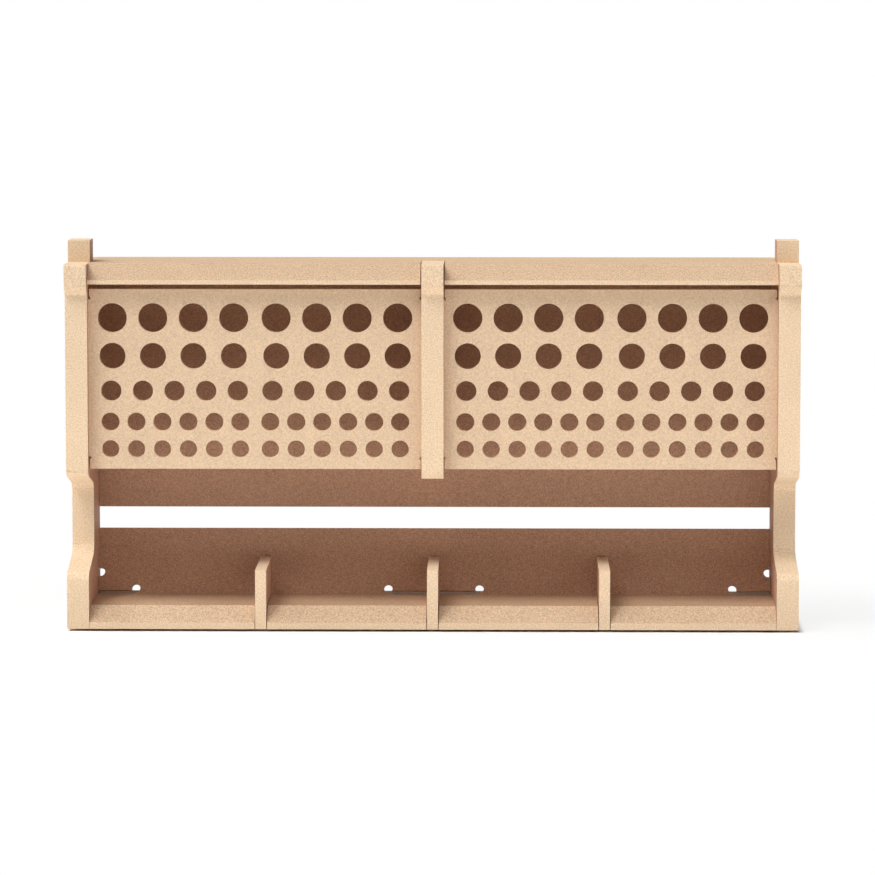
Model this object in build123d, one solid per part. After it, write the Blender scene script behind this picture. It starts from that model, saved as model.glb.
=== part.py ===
"""Hobby workstation organizer: a desk rack of bare fibreboard.

Two shaped side panels and a centre partition carry a pair of perforated tool panels, a thick
top board with a bevelled front, an upper back panel, and an open tray at the foot that has a
bevelled base, three low dividers and a back panel that leans. The boards meet in tabs and
slots with round cutter reliefs.

Millimetres. X runs along the width, the front faces -Y and Z is up. The origin is on the
resting plane, in the middle of the width and of the depth. Depths (d) are counted back from
the main front plane, heights (h) up from the underside of the boards.
"""
from build123d import *
import math
import os

# ---- overall form
overall_width = 400.0
side_height = 200.0
side_depth = 65.0

# ---- boards
board_t = 12.0
top_t = 11.0
divider_t = 6.0
sheet_t = 4.0

# ---- joints
fit_gap = 0.15
tab_reach = 5.8
foot_tab_reach = 8.0
panel_gap = 0.5
notch_gap = 0.6
divider_gap = 0.4
relief_r = 2.4
small_relief_r = 0.75
halving_depth = 32.0

# ---- front edge of the side panels and the partition
nose_reach = 5.0
nose_height = 11.5
nose_slope = 5.2
nose_top_r = 1.0
nose_low_r = 2.5
neck_r = 3.0

# ---- recess between the rack and the tray
recess_depth = 31.5
recess_front_drop = 2.9
recess_back_drop = 10.9
recess_top_r = 6.0
overhang_r = 5.0
foot_back_h = 38.6
foot_back_r = 8.0
foot_front_h = 30.2
foot_front_r = 5.0

# ---- stacking posts on top of the side panels
post_front = 18.0
post_depth = 18.0
post_height = 12.0

# ---- bevelled front edges
top_edge_h = 2.4
base_edge_h = 3.65
end_tab_front = 20.0
end_tab_length = 30.0
top_tab_front = 40.0
top_tab_length = 20.0

# ---- partition
partition_drop = 5.0
partition_tab_rise = 27.5
partition_tab_height = 50.0

# ---- perforated panels, hung under the top board
perforated_front = 7.0
perforated_top_gap = 3.0
perforated_height = 98.5
perforated_tab_top_inset = 4.9
perforated_tab_low_inset = 6.0

# ---- rows of tool holes, from the top row down: drop from the panel's top edge, diameter,
# distance of the first hole from the panel's middle, pitch, and holes on each side of it
row_drops = (15.7, 36.6, 55.7, 72.7, 87.6)
hole_diameters = (16.0, 14.3, 11.2, 10.0, 9.5)
first_offsets = (11.6, 11.6, 9.5, 8.2, 8.2)
hole_pitches = (22.1, 22.1, 17.3, 14.2, 14.2)
holes_each_side = (4, 4, 5, 6, 6)

# ---- back panels and the slot between them
rear_slot_height = 12.0
upper_tab_rise = 50.0
upper_tab_height = 50.0
lower_back_top_h = 48.0
lower_back_clearance = 1.0
lean_angle = 17.0
lower_side_tab_h = 24.1
lower_foot_tab_inner = 25.5
lower_foot_tab_outer = 166.7
foot_relief_rise = 1.2
side_relief_inset = 1.4

# ---- dividers
divider_count = 3
divider_pitch = 94.0
divider_h = 32.5

# ---- foot pads
pad_d = 10.0
pad_t = 1.3
pad_front = 12.0
pad_back = 56.0
pad_middle_x = 47.0
pad_middle_d = 32.0

# ---- worked out from the above
front_y = nose_reach - (side_depth + nose_reach) / 2
inner_x = overall_width / 2 - board_t
bay_x = board_t / 2
top_under_h = side_height - top_t
perforated_top_h = top_under_h - perforated_top_gap
perforated_low_h = perforated_top_h - perforated_height
perforated_tab_low_h = perforated_low_h + perforated_tab_low_inset
perforated_tab_top_h = perforated_top_h - perforated_tab_top_inset
partition_low_h = perforated_low_h - partition_drop
partition_tab_low_h = partition_low_h + partition_tab_rise
recess_front_h = perforated_low_h - recess_front_drop
recess_back_h = perforated_low_h - recess_back_drop
upper_back_low_h = lower_back_top_h + rear_slot_height
upper_tab_low_h = upper_back_low_h + upper_tab_rise
back_front = side_depth - sheet_t
bevel_top = top_t - top_edge_h
bevel_base = board_t - base_edge_h
cut_past = 1.0

lean = math.radians(lean_angle)
lean_foot_h = board_t + lower_back_clearance + sheet_t * math.sin(lean)
lean_length = (lower_back_top_h - lean_foot_h) / math.cos(lean)
lean_foot_d = side_depth - sheet_t * math.cos(lean) - lean_length * math.sin(lean)


def block(x_low, x_high, d_low, d_high, h_low, h_high):
    """A box between two x values, two depths and two heights."""
    size = (x_high - x_low, d_high - d_low, h_high - h_low)
    centre = ((x_low + x_high) / 2, front_y + (d_low + d_high) / 2, pad_t + (h_low + h_high) / 2)
    return Pos(*centre) * Box(*size)


def board_from_outline(corners, x_low, x_high):
    """A board along X whose outline has (depth, height, corner radius) points."""
    points = [(front_y + d, pad_t + h) for d, h, radius in corners]
    outline = make_face(Polyline(*points, close=True))
    for (d, h, radius), point in zip(corners, points):
        if radius > 0:
            corner = outline.vertices().sort_by_distance((point[0], point[1], 0))[0]
            outline = fillet(corner, radius)
    return Pos(x_low, 0, 0) * extrude(Plane.YZ * outline, x_high - x_low)


def round_along_y(x, h, radius, d_low, d_high):
    """A round hole or cutter relief through a sheet that stands upright."""
    centre = (x, front_y + (d_low + d_high) / 2, pad_t + h)
    return Pos(*centre) * Rot(90, 0, 0) * Cylinder(radius, d_high - d_low + 2 * cut_past)


def round_along_z(x, d, radius, h_low, h_high):
    """A round cutter relief through a board that lies flat."""
    centre = (x, front_y + d, pad_t + (h_low + h_high) / 2)
    return Pos(*centre) * Cylinder(radius, h_high - h_low + 2 * cut_past)


def on_lower_back(solid):
    """Moves a solid drawn at the foot of an upright sheet onto the leaning lower back."""
    return Pos(0, front_y + lean_foot_d, pad_t + lean_foot_h) * Rot(-lean_angle, 0, 0) * solid


def sheet_block(x_low, x_high, along_low, along_high, gap=0.0):
    """A piece of the leaning sheet before it leans, with an optional gap all round."""
    size = (x_high - x_low + 2 * gap, sheet_t + 2 * gap, along_high - along_low + 2 * gap)
    centre = ((x_low + x_high) / 2, sheet_t / 2, (along_low + along_high) / 2)
    return Pos(*centre) * Box(*size)


def lean_front(h):
    """Depth of the leaning panel's front face at a height."""
    return lean_foot_d + (h - lean_foot_h) * math.tan(lean)


# Each tab is drawn once. With a gap it is the slot that takes it.

def perforated_tab(side, gap=0.0):
    """Tab of a perforated panel in the side panel (side -1, +1) or the partition (0)."""
    reach = tab_reach + gap
    d_low = perforated_front - gap
    d_high = perforated_front + sheet_t + gap
    h_low = perforated_tab_low_h - gap
    h_high = perforated_tab_top_h + gap
    if side == 0:
        return block(-bay_x - panel_gap, bay_x + panel_gap, d_low, d_high, h_low, h_high)
    inner = side * (inner_x - panel_gap)
    outer = side * (inner_x + reach)
    return block(min(inner, outer), max(inner, outer), d_low, d_high, h_low, h_high)


def upper_back_tab(side, gap=0.0):
    """Tab of the upper back panel, in a notch in the rear edge of a side panel."""
    inner = side * (inner_x - fit_gap)
    outer = side * (inner_x + tab_reach + gap)
    past = cut_past if gap else 0.0
    return block(min(inner, outer), max(inner, outer), back_front - gap, side_depth + past,
                 upper_tab_low_h - gap, upper_tab_low_h + upper_tab_height + gap)


def top_tab(side, gap=0.0):
    """End tab of the top board, in a pocket in the top edge of a side panel."""
    inner = side * (inner_x - fit_gap)
    outer = side * (inner_x + tab_reach + gap)
    past = cut_past if gap else 0.0
    return block(min(inner, outer), max(inner, outer), top_tab_front - gap,
                 top_tab_front + top_tab_length + gap, top_under_h - gap, side_height + past)


def base_tab(side, gap=0.0):
    """End tab of the base board, in a pocket in the bottom edge of a side panel."""
    inner = side * (inner_x - fit_gap)
    outer = side * (inner_x + tab_reach + gap)
    past = cut_past if gap else 0.0
    return block(min(inner, outer), max(inner, outer), end_tab_front - gap,
                 end_tab_front + end_tab_length + gap, -past, board_t + gap)


def lower_back_side_tab(side, gap=0.0):
    """Side tab of the leaning panel, before it leans."""
    tab_low = (lower_side_tab_h - lean_foot_h) / math.cos(lean)
    inner = side * (inner_x - fit_gap)
    outer = side * (inner_x + tab_reach)
    return sheet_block(min(inner, outer), max(inner, outer), tab_low, lean_length, gap)


def lower_back_foot_tab(side, gap=0.0):
    """Foot tab of the leaning panel, in the base board, before it leans."""
    inner = side * lower_foot_tab_inner
    outer = side * lower_foot_tab_outer
    return sheet_block(min(inner, outer), max(inner, outer), -foot_tab_reach, 0.0, gap)


def partition_tab(gap=0.0):
    """Rear tab of the partition, through the upper back panel."""
    past = cut_past if gap else 0.0
    return block(-bay_x - gap, bay_x + gap, back_front - past, side_depth + past,
                 partition_tab_low_h - gap, partition_tab_low_h + partition_tab_height + gap)


def nose_corners():
    """The front edge's top: nose, slope and neck, from the top down."""
    nose_low = side_height - nose_height
    return [
        (-nose_reach, side_height, nose_top_r),
        (-nose_reach, nose_low, nose_low_r),
        (0.0, nose_low - nose_slope, neck_r),
    ]


def side_panel(side):
    """Shaped side with its stacking post, and pockets on the inner face."""
    corners = nose_corners() + [
        (0.0, recess_front_h, overhang_r),
        (recess_depth, recess_back_h, recess_top_r),
        (recess_depth, foot_back_h, foot_back_r),
        (0.0, foot_front_h, foot_front_r),
        (0.0, 0.0, 0.0),
        (side_depth, 0.0, 0.0),
        (side_depth, side_height, 0.0),
        (post_front + post_depth, side_height, 0.0),
        (post_front + post_depth, side_height + post_height, 0.0),
        (post_front, side_height + post_height, 0.0),
        (post_front, side_height, 0.0),
    ]
    faces = sorted((side * inner_x, side * (inner_x + board_t)))
    panel = board_from_outline(corners, *faces)
    panel -= perforated_tab(side, fit_gap)
    panel -= upper_back_tab(side, fit_gap)
    panel -= top_tab(side, fit_gap)
    panel -= base_tab(side, fit_gap)
    panel -= on_lower_back(lower_back_side_tab(side, fit_gap))
    return panel


def centre_partition():
    """Partition behind the same nose, let into the top board and tabbed through the back."""
    corners = nose_corners() + [
        (0.0, partition_low_h, overhang_r),
        (back_front, partition_low_h, 0.0),
        (back_front, top_under_h, 0.0),
        (halving_depth, top_under_h, 0.0),
        (halving_depth, side_height, 0.0),
    ]
    panel = board_from_outline(corners, -bay_x, bay_x)
    panel += partition_tab()
    panel -= perforated_tab(0, fit_gap)
    return panel


def top_board():
    """Thick top board, bevelled at the front and notched for the partition."""
    corners = [
        (0.0, top_under_h, 0.0),
        (side_depth, top_under_h, 0.0),
        (side_depth, side_height, 0.0),
        (bevel_top, side_height, 0.0),
        (0.0, top_under_h + top_edge_h, 0.0),
    ]
    half = inner_x - fit_gap
    board = board_from_outline(corners, -half, half)
    board += top_tab(-1) + top_tab(1)
    notch_x = bay_x + notch_gap
    notch_end = halving_depth + fit_gap
    board -= block(-notch_x, notch_x, -cut_past, notch_end,
                   top_under_h - cut_past, side_height + cut_past)
    for x in (-notch_x, notch_x):
        board -= round_along_z(x, notch_end, small_relief_r, top_under_h, side_height)
    return board


def perforated_panel(side):
    """Tool panel: rows of round holes, the largest on top, mirrored about its middle."""
    d_low = perforated_front
    d_high = perforated_front + sheet_t
    faces = sorted((side * (bay_x + panel_gap), side * (inner_x - panel_gap)))
    panel = block(*faces, d_low, d_high, perforated_low_h, perforated_top_h)

    mid_reach = sorted((side * (bay_x - tab_reach), side * (bay_x + panel_gap)))
    panel += perforated_tab(side)
    panel += block(*mid_reach, d_low, d_high, perforated_tab_low_h, perforated_tab_top_h)
    for x in faces:
        for h in (perforated_tab_low_h, perforated_tab_top_h):
            panel -= round_along_y(x, h, small_relief_r, d_low, d_high)

    middle = side * (bay_x + inner_x) / 2
    rows = zip(row_drops, hole_diameters, first_offsets, hole_pitches, holes_each_side)
    for drop, diameter, first, pitch, count in rows:
        for step in range(count):
            for mirror in (-1, 1):
                x = middle + mirror * (first + pitch * step)
                panel -= round_along_y(x, perforated_top_h - drop, diameter / 2, d_low, d_high)
    return panel


def upper_back_panel():
    """Upright back of the rack, from the cable slot to the top board."""
    half = inner_x - fit_gap
    panel = block(-half, half, back_front, side_depth, upper_back_low_h, top_under_h)
    panel += upper_back_tab(-1) + upper_back_tab(1)
    panel -= partition_tab(fit_gap)
    for x in (-half, half):
        for h in (upper_tab_low_h, upper_tab_low_h + upper_tab_height):
            panel -= round_along_y(x, h, small_relief_r, back_front, side_depth)
    return panel


def lower_back_panel():
    """Leaning back of the tray, clear of the base, with round reliefs beside its tabs."""
    half = inner_x - fit_gap
    tab_low = (lower_side_tab_h - lean_foot_h) / math.cos(lean)
    panel = sheet_block(-half, half, 0.0, lean_length)
    bore = Rot(90, 0, 0) * Cylinder(relief_r, 4 * sheet_t)
    for side in (-1, 1):
        panel += lower_back_side_tab(side)
        panel += lower_back_foot_tab(side)
        panel -= Pos(side * (inner_x - side_relief_inset), 0, tab_low) * bore
        panel -= Pos(side * lower_foot_tab_inner, 0, foot_relief_rise) * bore
        panel -= Pos(side * lower_foot_tab_outer, 0, foot_relief_rise) * bore
    return on_lower_back(panel)


def divider_places():
    """Middle of each divider along the width."""
    middle = (divider_count - 1) / 2
    return [(index - middle) * divider_pitch for index in range(divider_count)]


def base_board():
    """Tray floor: bevelled at the front, slotted for the dividers."""
    corners = [
        (0.0, 0.0, 0.0),
        (side_depth, 0.0, 0.0),
        (side_depth, board_t, 0.0),
        (bevel_base, board_t, 0.0),
        (0.0, base_edge_h, 0.0),
    ]
    half = inner_x - fit_gap
    board = board_from_outline(corners, -half, half)
    board += base_tab(-1) + base_tab(1)
    for side in (-1, 1):
        board -= on_lower_back(lower_back_foot_tab(side, fit_gap))
    slot_half = divider_t / 2 + divider_gap
    for x in divider_places():
        board -= block(x - slot_half, x + slot_half, -cut_past, halving_depth + fit_gap,
                       -cut_past, board_t + cut_past)
    return board


def divider(x):
    """Low tray divider: its front half drops through the base board."""
    corners = [
        (0.0, 0.0, 0.0),
        (0.0, divider_h, 0.0),
        (lean_front(divider_h) - fit_gap, divider_h, 0.0),
        (lean_front(board_t) - fit_gap, board_t, 0.0),
        (halving_depth, board_t, 0.0),
        (halving_depth, 0.0, 0.0),
    ]
    return board_from_outline(corners, x - divider_t / 2, x + divider_t / 2)


def foot_pad(x, d):
    """Thin round pad under the boards."""
    return Pos(x, front_y + d, pad_t / 2) * Cylinder(pad_d / 2, pad_t)


def build_nodes():
    """Every node of the rack by name."""
    nodes = {
        "side_panel_left": side_panel(-1),
        "side_panel_right": side_panel(1),
        "centre_partition": centre_partition(),
        "top_board": top_board(),
        "perforated_panel_left": perforated_panel(-1),
        "perforated_panel_right": perforated_panel(1),
        "upper_back_panel": upper_back_panel(),
        "lower_back_panel": lower_back_panel(),
        "base_board": base_board(),
    }
    for name, x in zip(("left", "centre", "right"), divider_places()):
        nodes["tray_divider_" + name] = divider(x)
    side_middle = inner_x + board_t / 2
    pads = {
        "front_left": (-side_middle, pad_front),
        "front_right": (side_middle, pad_front),
        "middle_left": (-pad_middle_x, pad_middle_d),
        "middle_right": (pad_middle_x, pad_middle_d),
        "rear_left": (-side_middle, pad_back),
        "rear_right": (side_middle, pad_back),
    }
    for name, (x, d) in pads.items():
        nodes["foot_pad_" + name] = foot_pad(x, d)
    return nodes


os.makedirs("parts", exist_ok=True)
for node_name, solid in build_nodes().items():
    export_step(solid, "parts/" + node_name + ".step")
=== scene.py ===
# %% [markdown]
# # Hobby workstation organizer
#
# The organizer is a desk rack of bare MDF, the smooth brown board that is pressed from wood
# fibre. Two shaped sides and a centre partition carry perforated tool panels, with a divided
# tray at the foot. The frame that is loaded here already holds every board at its real size.
# This script gives the boards their finish, and adds the floor, the light and the camera.

import math

import bpy
import numpy as np
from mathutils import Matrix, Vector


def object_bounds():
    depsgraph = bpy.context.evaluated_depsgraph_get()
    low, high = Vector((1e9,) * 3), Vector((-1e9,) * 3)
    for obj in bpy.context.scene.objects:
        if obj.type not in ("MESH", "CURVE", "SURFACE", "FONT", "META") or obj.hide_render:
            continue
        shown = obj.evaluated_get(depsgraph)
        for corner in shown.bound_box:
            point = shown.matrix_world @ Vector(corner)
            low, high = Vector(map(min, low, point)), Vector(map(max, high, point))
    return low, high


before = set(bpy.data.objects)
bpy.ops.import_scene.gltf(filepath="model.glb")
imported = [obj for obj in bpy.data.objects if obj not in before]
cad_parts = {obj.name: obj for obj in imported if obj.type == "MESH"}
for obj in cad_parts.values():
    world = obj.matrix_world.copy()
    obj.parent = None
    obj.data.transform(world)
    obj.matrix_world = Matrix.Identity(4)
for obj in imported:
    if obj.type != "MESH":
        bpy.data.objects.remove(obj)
cad_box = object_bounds()
print("boards and pads:", sorted(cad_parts))

# %% [markdown]
# ## The camera
#
# The photograph was taken with a long lens from a little over two metres away, above the rack
# and slightly right of its middle. A long lens keeps the front almost square, and the height
# shows the bevel of the base and the floor of the tray. A small shift of the lens looks down
# in place of some of the tilt, which keeps the upright edges close to parallel.

# %% The camera
MM = 0.001
CAMERA_PLACE_MM = (35.6, -2244.1, 344.0)
CAMERA_TILT_DEG = 4.884
CAMERA_TURN_DEG = 0.85
LENS_MM = 168.2
LENS_SHIFT_Y = -0.1
SENSOR_MM = 36.0

camera_data = bpy.data.cameras.new("studio_camera")
camera_data.lens = LENS_MM
camera_data.sensor_width = SENSOR_MM
camera_data.sensor_fit = "HORIZONTAL"
camera_data.shift_y = LENS_SHIFT_Y
camera_data.clip_end = 50.0
camera = bpy.data.objects.new("studio_camera", camera_data)
camera.location = [MM * value for value in CAMERA_PLACE_MM]
camera.rotation_euler = (math.radians(90 - CAMERA_TILT_DEG), 0, math.radians(CAMERA_TURN_DEG))
bpy.context.scene.collection.objects.link(camera)
bpy.context.scene.camera = camera
print("lens", LENS_MM, "mm from", CAMERA_PLACE_MM)

# %% [markdown]
# ## Helpers for materials
#
# Colours are written as on a paint card, in sRGB hex, and turned to linear light by one
# function. Another function adds one node with its settings and links, so that each material
# below reads as a list of what happens to the surface. The third gives an empty material.


# %% Colour and node helpers
def linear(hex_colour):
    """sRGB hex to linear RGBA: the standard curve, with its straight foot below 0.04045."""
    value = hex_colour.lstrip("#")
    channels = np.array([int(value[i:i + 2], 16) for i in (0, 2, 4)]) / 255
    curve = np.where(channels <= 0.04045, channels / 12.92, ((channels + 0.055) / 1.055) ** 2.4)
    return (*curve.tolist(), 1.0)


def add_node(tree, kind, settings, sockets):
    """Adds a node, applies its settings, and fills its sockets with values or links."""
    node = tree.nodes.new(kind)
    for name, value in settings.items():
        setattr(node, name, value)
    for key, value in sockets.items():
        if isinstance(value, bpy.types.NodeSocket):
            tree.links.new(value, node.inputs[key])
        else:
            node.inputs[key].default_value = value
    return node


def new_material(name):
    """An empty node material and its tree."""
    material = bpy.data.materials.new(name)
    material.use_nodes = True
    material.node_tree.nodes.clear()
    return material, material.node_tree


print("mid grey #808080 is", round(linear("#808080")[0], 3), "in linear light")

# %% [markdown]
# ## Raw MDF: faces, slopes and edges
#
# MDF is wood fibre and glue, pressed flat. Its broad faces were sanded, the sloping fronts of
# the thick boards were sawn through the loose core, and the edges and holes were cut by a
# router. One material can hold all three, because the direction that the surface faces tells
# them apart: along the board's thickness it is a face, halfway it is a slope, and otherwise
# an edge or the wall of a hole. Normals in Object coordinates stay with the board.

# %% Which surface of the board
SLOPE_FROM, SLOPE_FULL = 0.5, 0.65
FACE_FROM, FACE_FULL = 0.85, 0.95


def board_surfaces(tree, normal, thickness_axis):
    """Masks from the cosine between normal and thickness: sanded face, and face or slope."""
    cosine = add_node(tree, "ShaderNodeVectorMath", {"operation": "DOT_PRODUCT"},
                      {0: normal, 1: thickness_axis}).outputs["Value"]
    facing = add_node(tree, "ShaderNodeMath", {"operation": "ABSOLUTE"}, {0: cosine}).outputs[0]
    is_face = add_node(tree, "ShaderNodeMapRange", {},
                       {"Value": facing, "From Min": FACE_FROM, "From Max": FACE_FULL})
    is_open = add_node(tree, "ShaderNodeMapRange", {},
                       {"Value": facing, "From Min": SLOPE_FROM, "From Max": SLOPE_FULL})
    return is_face.outputs[0], is_open.outputs[0]


print("a slope at 45 degrees has the cosine", round(math.cos(math.radians(45)), 3))

# %% [markdown]
# ## Raw MDF: the fibre hairs
#
# Short fibres lie on an MDF face in every direction, darker than the board. Noise that is
# stretched one way draws fibres that all lie one way, so four layers are turned against each
# other. Only the highest crests of each layer show, as separate short hairs. A single fibre
# is 0.03 mm wide, too fine to show, so these are bundles, drawn coarser than real.

# %% The fibre hairs
FIBRE_WIDTH_MM = 0.55
FIBRE_LENGTH_MM = 2.6
FIBRE_TURNS_DEG = (8, 52, 97, 141)
LAYER_STEP_M = 0.05
HAIR_FROM, HAIR_FULL = 0.60, 0.76


def fibre_hairs(tree, position, thickness_axis):
    """The largest crest of several stretched noises, each turned about the thickness."""
    width = FIBRE_WIDTH_MM * MM
    extra = (FIBRE_LENGTH_MM - FIBRE_WIDTH_MM) * MM
    lying = [width + extra * along for along in np.roll(thickness_axis, 1).tolist()]
    hairs = 0.0
    for layer, turn in enumerate(FIBRE_TURNS_DEG):
        turned = add_node(tree, "ShaderNodeMapping", {"vector_type": "TEXTURE"},
                          {"Vector": position, "Location": (LAYER_STEP_M * layer,) * 3,
                           "Rotation": [math.radians(turn) * part for part in thickness_axis],
                           "Scale": lying})
        noise = add_node(tree, "ShaderNodeTexNoise", {},
                         {"Vector": turned.outputs[0], "Scale": 1.0, "Detail": 1.0})
        crest = add_node(tree, "ShaderNodeMapRange", {"interpolation_type": "SMOOTHSTEP"},
                         {"Value": noise.outputs[0], "From Min": HAIR_FROM,
                          "From Max": HAIR_FULL})
        hairs = add_node(tree, "ShaderNodeMath", {"operation": "MAXIMUM"},
                         {0: crest.outputs[0], 1: hairs}).outputs[0]
    return hairs


print("hairs", FIBRE_WIDTH_MM, "x", FIBRE_LENGTH_MM, "mm in", len(FIBRE_TURNS_DEG), "layers")

# %% [markdown]
# ## Raw MDF: the mottle
#
# Where the fibre was pressed a little more, the board is darker. That gives a fine mottle all
# over, with soft clouds a few centimetres wide under it. The real mottle is about 0.3 mm
# across, and it is drawn coarser than that, so that it shows.

# %% The mottle
PER_METRE = 1000.0
MOTTLE_MM = 0.75
CLOUD_MM = 24.0
CLOUD_DEPTH = 0.12


def pressed_mottle(tree, position, depth):
    """The fine mottle, and a shade around 1: depth (mottle - 1/2) + cloud depth (cloud - 1/2)."""
    mottle = add_node(tree, "ShaderNodeTexNoise", {},
                      {"Vector": position, "Scale": PER_METRE / MOTTLE_MM, "Detail": 3.0,
                       "Roughness": 0.65}).outputs[0]
    cloud = add_node(tree, "ShaderNodeTexNoise", {},
                     {"Vector": position, "Scale": PER_METRE / CLOUD_MM, "Detail": 2.0,
                      "Roughness": 0.5}).outputs[0]
    shade = add_node(tree, "ShaderNodeMath", {"operation": "MULTIPLY_ADD"},
                     {0: mottle, 1: depth, 2: 1.0}).outputs[0]
    shade = add_node(tree, "ShaderNodeMath", {"operation": "MULTIPLY_ADD"},
                     {0: depth, 1: -0.5, 2: shade}).outputs[0]
    shade = add_node(tree, "ShaderNodeMath", {"operation": "MULTIPLY_ADD"},
                     {0: cloud, 1: CLOUD_DEPTH, 2: shade}).outputs[0]
    shade = add_node(tree, "ShaderNodeMath", {"operation": "SUBTRACT"},
                     {0: shade, 1: CLOUD_DEPTH / 2}).outputs[0]
    return mottle, shade


print("mottle", MOTTLE_MM, "mm, clouds", CLOUD_MM, "mm")

# %% [markdown]
# ## Raw MDF: the finish
#
# The router leaves an edge pale and even, with few hairs. The sawn slopes are rougher and
# browner, partly from the loose core and partly as painted shade. The sanded faces are browner
# still, each board in its own tone; the darker tones of the uprights, the back sheets and the
# tray base are painted shade, for faces that lie in the rack's shade. Sanding makes the faces a
# little smoother than the edges, but nothing on raw MDF shines. The fibres stand a few
# hundredths of a millimetre proud, which a bump shows.

# %% Raw MDF
CUT_EDGE = "#E9CDAC"
# The sawn slope colour is browner partly from the sawn core and partly as painted shade on the
# slopes.
SAWN_SLOPE_WITH_SHADE = "#CFB192"
DARK_FIBRE = "#8A6142"
OPEN_GRAIN = 1.4
EDGE_HAIRS, OPEN_HAIRS = 0.10, 0.18
EDGE_ROUGHNESS, FACE_ROUGHNESS = 0.85, 0.7
FIBRE_HEIGHT_MM = 0.08


def raw_mdf(name, thickness_axis, face_tone_and_shade_hex, grain):
    """Sanded faces across the thickness axis, sawn slopes at 45 degrees, cut edges elsewhere."""
    material, tree = new_material(name)
    coords = add_node(tree, "ShaderNodeTexCoord", {}, {})
    position = coords.outputs["Object"]
    is_face, is_open = board_surfaces(tree, coords.outputs["Normal"], thickness_axis)

    slope_or_edge = add_node(tree, "ShaderNodeMix", {"data_type": "RGBA"},
                             {0: is_open, 6: linear(CUT_EDGE), 7: linear(SAWN_SLOPE_WITH_SHADE)})
    plain = add_node(tree, "ShaderNodeMix", {"data_type": "RGBA"},
                     {0: is_face, 6: slope_or_edge.outputs[2], 7: linear(face_tone_and_shade_hex)}).outputs[2]

    # Faces and slopes are open surfaces, with a stronger mottle and more hairs than an edge.
    depth = add_node(tree, "ShaderNodeMapRange", {},
                     {"Value": is_open, "To Min": grain, "To Max": OPEN_GRAIN * grain})
    mottle, shade = pressed_mottle(tree, position, depth.outputs[0])
    mottled = add_node(tree, "ShaderNodeVectorMath", {"operation": "SCALE"},
                       {0: plain, "Scale": shade}).outputs[0]
    hairs = fibre_hairs(tree, position, thickness_axis)
    strength = add_node(tree, "ShaderNodeMapRange", {},
                        {"Value": is_open, "To Min": EDGE_HAIRS, "To Max": OPEN_HAIRS})
    amount = add_node(tree, "ShaderNodeMath", {"operation": "MULTIPLY"},
                      {0: hairs, 1: strength.outputs[0]}).outputs[0]
    colour = add_node(tree, "ShaderNodeMix", {"data_type": "RGBA"},
                      {0: amount, 6: mottled, 7: linear(DARK_FIBRE)}).outputs[2]

    height = add_node(tree, "ShaderNodeMath", {"operation": "SUBTRACT"},
                      {0: mottle, 1: hairs}).outputs[0]
    bump = add_node(tree, "ShaderNodeBump", {},
                    {"Strength": 0.3, "Distance": FIBRE_HEIGHT_MM * MM, "Height": height})
    rough = add_node(tree, "ShaderNodeMapRange", {},
                     {"Value": is_face, "To Min": EDGE_ROUGHNESS, "To Max": FACE_ROUGHNESS})
    shader = add_node(tree, "ShaderNodeBsdfPrincipled", {},
                      {"Base Color": colour, "Roughness": rough.outputs[0], "IOR": 1.45,
                       "Specular IOR Level": 0.3, "Normal": bump.outputs[0]})
    add_node(tree, "ShaderNodeOutputMaterial", {}, {"Surface": shader.outputs[0]})
    return material


# The darker face tones of the uprights, the back sheet, the leaning back and the tray base are
# painted shade: their faces lie in the rack's shade.
mdf_upright = raw_mdf("sanded_mdf_upright_board", (1, 0, 0), "#C89C82", 1.2)
mdf_panel = raw_mdf("sanded_mdf_tool_panel", (0, 1, 0), "#DFC2A2", 0.55)
mdf_back = raw_mdf("sanded_mdf_back_sheet", (0, 1, 0), "#B58B70", 1.2)
mdf_leaning = raw_mdf("sanded_mdf_leaning_back", (0, 1, 0), "#C2967A", 1.3)
mdf_top = raw_mdf("sanded_mdf_top_board", (0, 0, 1), "#CCAE8D", 1.1)
mdf_base = raw_mdf("sanded_mdf_tray_base", (0, 0, 1), "#BA987A", 1.25)
print("nodes in one board's material:", len(mdf_panel.node_tree.nodes))

# %% [markdown]
# ## EVA foam pads
#
# The rack stands on thin self-adhesive pads, cut from a sheet of EVA foam. The cut opens the
# foam's cells, so it is dark and matt with fine grains. A cell is about 0.2 mm wide, and it
# is drawn coarser than real.

# %% EVA foam
FOAM_CELL_MM = 0.4
CELL_DEPTH_MM = 0.05


def eva_foam():
    """Dark closed-cell foam: the distance to the nearest cell's middle sets tone and bump."""
    material, tree = new_material("cut_eva_foam")
    position = add_node(tree, "ShaderNodeTexCoord", {}, {}).outputs["Object"]
    cells = add_node(tree, "ShaderNodeTexVoronoi", {},
                     {"Vector": position, "Scale": PER_METRE / FOAM_CELL_MM}).outputs["Distance"]
    colour = add_node(tree, "ShaderNodeMix", {"data_type": "RGBA"},
                      {0: cells, 6: linear("#1D1512"), 7: linear("#33261F")}).outputs[2]
    bump = add_node(tree, "ShaderNodeBump", {},
                    {"Strength": 0.3, "Distance": CELL_DEPTH_MM * MM, "Height": cells})
    shader = add_node(tree, "ShaderNodeBsdfPrincipled", {},
                      {"Base Color": colour, "Roughness": 0.9, "Normal": bump.outputs[0]})
    add_node(tree, "ShaderNodeOutputMaterial", {}, {"Surface": shader.outputs[0]})
    return material


foam = eva_foam()
print("foam cells", FOAM_CELL_MM, "mm")

# %% [markdown]
# ## Finishes on the boards
#
# Each board gets the material whose thickness axis is its own: upright boards are thin from
# side to side, panels and back sheets from front to back, and the top and the base from top
# to bottom. The boards keep the shapes of the frame, so only their material slots change.

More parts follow.
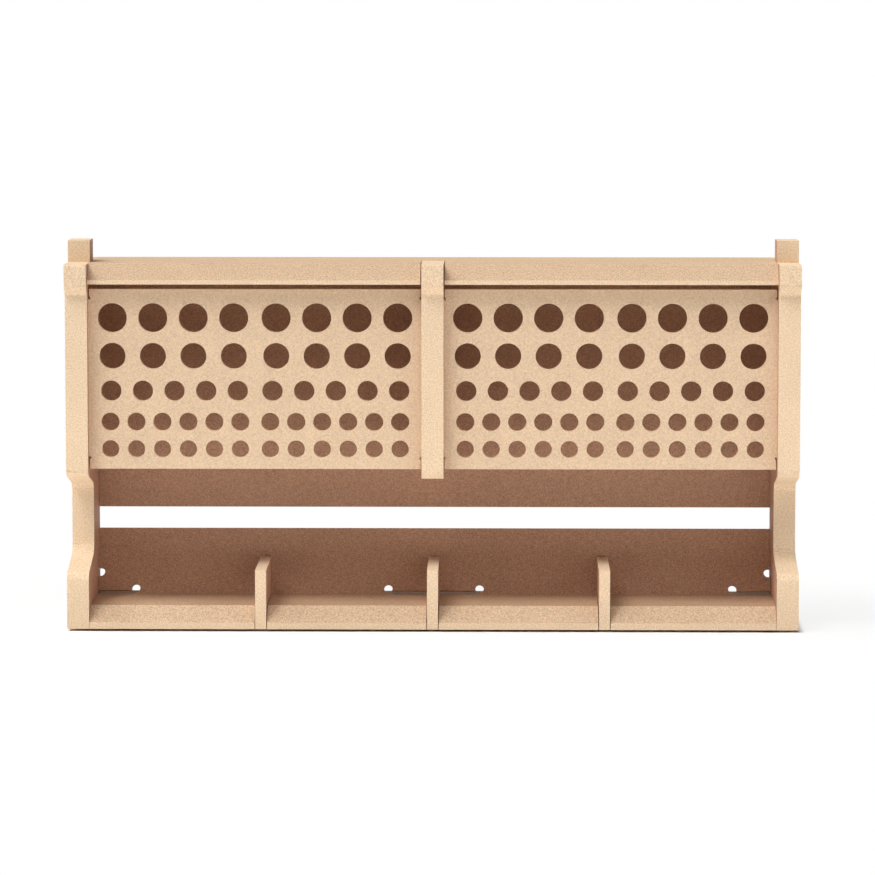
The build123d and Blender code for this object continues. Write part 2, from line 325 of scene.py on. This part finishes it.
# %% Finishes on the boards
FINISHES = {
    mdf_upright: ("side_panel", "centre_partition", "tray_divider"),
    mdf_panel: ("perforated_panel",),
    mdf_back: ("upper_back_panel",),
    mdf_leaning: ("lower_back_panel",),
    mdf_top: ("top_board",),
    mdf_base: ("base_board",),
    foam: ("foot_pad",),
}
for material, prefixes in FINISHES.items():
    for name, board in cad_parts.items():
        if name.startswith(prefixes):
            for slot in board.material_slots:
                slot.material = material
            print(name, "->", material.name)

# %% [markdown]
# ## The white table
#
# The rack stands on a white table that runs out of view. A lit floor never comes out quite
# white, and more light would bleach the rack. So the paint glows a little, but only for the
# camera and for reflections, and no light from it falls on the boards. The glow stops under
# the rack and is weaker close to it, so the dark line below the base and the shadow stay.

# %% The white table
FLOOR_REACH_M = 6.0
NEAR_EDGE_M, NEAR_GLOW = 0.004, 0.85
FAR_FROM_M, FAR_FULL_M, FAR_GLOW = 0.05, 0.8, 0.15


def studio_floor():
    """One flat square. Its glow grows with the distance outside the rack's footprint."""
    reach = FLOOR_REACH_M
    corners = [(-reach, -reach, 0), (reach, -reach, 0), (reach, reach, 0), (-reach, reach, 0)]
    mesh = bpy.data.meshes.new("studio_floor")
    mesh.from_pydata(corners, [], [(0, 1, 2, 3)])
    floor = bpy.data.objects.new("studio_floor", mesh)
    bpy.context.scene.collection.objects.link(floor)
    material, tree = new_material("white_paint_floor")
    paint = add_node(tree, "ShaderNodeBsdfDiffuse", {}, {"Color": linear("#F8F8F7")})
    white = add_node(tree, "ShaderNodeEmission", {}, {"Color": (1, 1, 1, 1), "Strength": 1.0})

    # The distance outside the footprint is the length of what |x| and |y| have past its corner.
    corner = (*np.array(cad_box[1])[:2].tolist(), 0)
    position = add_node(tree, "ShaderNodeTexCoord", {}, {}).outputs["Object"]
    away = add_node(tree, "ShaderNodeVectorMath", {"operation": "ABSOLUTE"}, {0: position})
    away = add_node(tree, "ShaderNodeVectorMath", {"operation": "SUBTRACT"},
                    {0: away.outputs[0], 1: corner})
    away = add_node(tree, "ShaderNodeVectorMath", {"operation": "MAXIMUM"},
                    {0: away.outputs[0], 1: (0, 0, 0)})
    away = add_node(tree, "ShaderNodeVectorMath", {"operation": "LENGTH"},
                    {0: away.outputs[0]}).outputs["Value"]
    near = add_node(tree, "ShaderNodeMapRange", {},
                    {"Value": away, "From Max": NEAR_EDGE_M, "To Max": NEAR_GLOW})
    far = add_node(tree, "ShaderNodeMapRange", {},
                   {"Value": away, "From Min": FAR_FROM_M, "From Max": FAR_FULL_M,
                    "To Max": FAR_GLOW})
    glow = add_node(tree, "ShaderNodeMath", {"operation": "ADD"},
                    {0: near.outputs[0], 1: far.outputs[0]})

    path = add_node(tree, "ShaderNodeLightPath", {}, {})
    seen = add_node(tree, "ShaderNodeMath", {"operation": "MAXIMUM"},
                    {0: path.outputs["Is Camera Ray"], 1: path.outputs["Is Glossy Ray"]})
    seen = add_node(tree, "ShaderNodeMath", {"operation": "MAXIMUM"},
                    {0: seen.outputs[0], 1: path.outputs["Is Transmission Ray"]})
    amount = add_node(tree, "ShaderNodeMath", {"operation": "MULTIPLY"},
                      {0: seen.outputs[0], 1: glow.outputs[0]}).outputs[0]
    mixed = add_node(tree, "ShaderNodeMixShader", {},
                     {0: amount, 1: paint.outputs[0], 2: white.outputs[0]})
    add_node(tree, "ShaderNodeOutputMaterial", {}, {"Surface": mixed.outputs[0]})
    mesh.materials.append(material)
    return floor


print("floor", 2 * FLOOR_REACH_M, "m wide:", studio_floor().name)

# %% [markdown]
# ## White all around
#
# Behind the table everything is white. To the boards the world is only a faint fill light,
# because a bright world would wash out the soft shadows. To the camera, and in reflections,
# its strength is 1, which is white.

# %% The world
WORLD_FILL = 0.03

world = bpy.data.worlds.new("white_studio")
world.use_nodes = True
bpy.context.scene.world = world
sky = world.node_tree
sky.nodes.clear()
path = add_node(sky, "ShaderNodeLightPath", {}, {})
seen = add_node(sky, "ShaderNodeMath", {"operation": "MAXIMUM"},
                {0: path.outputs["Is Camera Ray"], 1: path.outputs["Is Glossy Ray"]}).outputs[0]
seen = add_node(sky, "ShaderNodeMath", {"operation": "MAXIMUM"},
                {0: seen, 1: path.outputs["Is Transmission Ray"]}).outputs[0]
strength = add_node(sky, "ShaderNodeMapRange", {},
                    {"Value": seen, "To Min": WORLD_FILL, "To Max": 1.0}).outputs[0]
background = add_node(sky, "ShaderNodeBackground", {},
                      {"Color": (1, 1, 1, 1), "Strength": strength})
add_node(sky, "ShaderNodeOutputWorld", {}, {"Surface": background.outputs[0]})
print("world fill", WORLD_FILL)

# %% [markdown]
# ## The lights
#
# Five large soft lights hang around the rack, the strongest high in front at the left. They
# are far away for their size, so each is drawn as a sun with a wide disc, and the disc gives
# the soft shadows to the right of the partition and the dividers. A sun's share is what it
# would give a white surface that faces it, where 1 is white. A reflector card lies on the
# table in front of the rack, and throws light up at the fronts and into the tray.

# %% The lights
SUN_DISC_DEG = 26
CARD_WIDTH_M, CARD_DEPTH_M = 0.8, 0.4
CARD_PLACE_M = (0, -0.27, 0.002)
CARD_SHARE = 0.58


def soft_light(name, side_deg, height_deg, share):
    """A wide sun. The side angle counts from the front, to the right of the rack."""
    data = bpy.data.lights.new(name, "SUN")
    data.angle = math.radians(SUN_DISC_DEG)
    data.energy = share * math.pi
    light = bpy.data.objects.new(name, data)
    light.rotation_euler = (math.radians(90 - height_deg), 0, math.radians(side_deg))
    bpy.context.scene.collection.objects.link(light)
    return light


bpy.context.scene.view_settings.view_transform = "Standard"
soft_light("left_softbox", -90, 45, 0.42)
soft_light("front_left_softbox", -45, 58, 0.62)
soft_light("front_softbox", 0, 60, 0.16)
soft_light("top_softbox", 0, 88, 0.05)
soft_light("front_right_softbox", 60, 25, 0.11)

card_data = bpy.data.lights.new("reflector_card", "AREA")
card_data.shape = "RECTANGLE"
card_data.size = CARD_WIDTH_M
card_data.size_y = CARD_DEPTH_M
card_data.energy = CARD_SHARE * math.pi * CARD_WIDTH_M * CARD_DEPTH_M
card = bpy.data.objects.new("reflector_card", card_data)
card.location = CARD_PLACE_M
card.rotation_euler = (math.pi, 0, 0)
card.visible_camera = False
bpy.context.scene.collection.objects.link(card)
print("lights:", [light.name for light in bpy.data.lights])
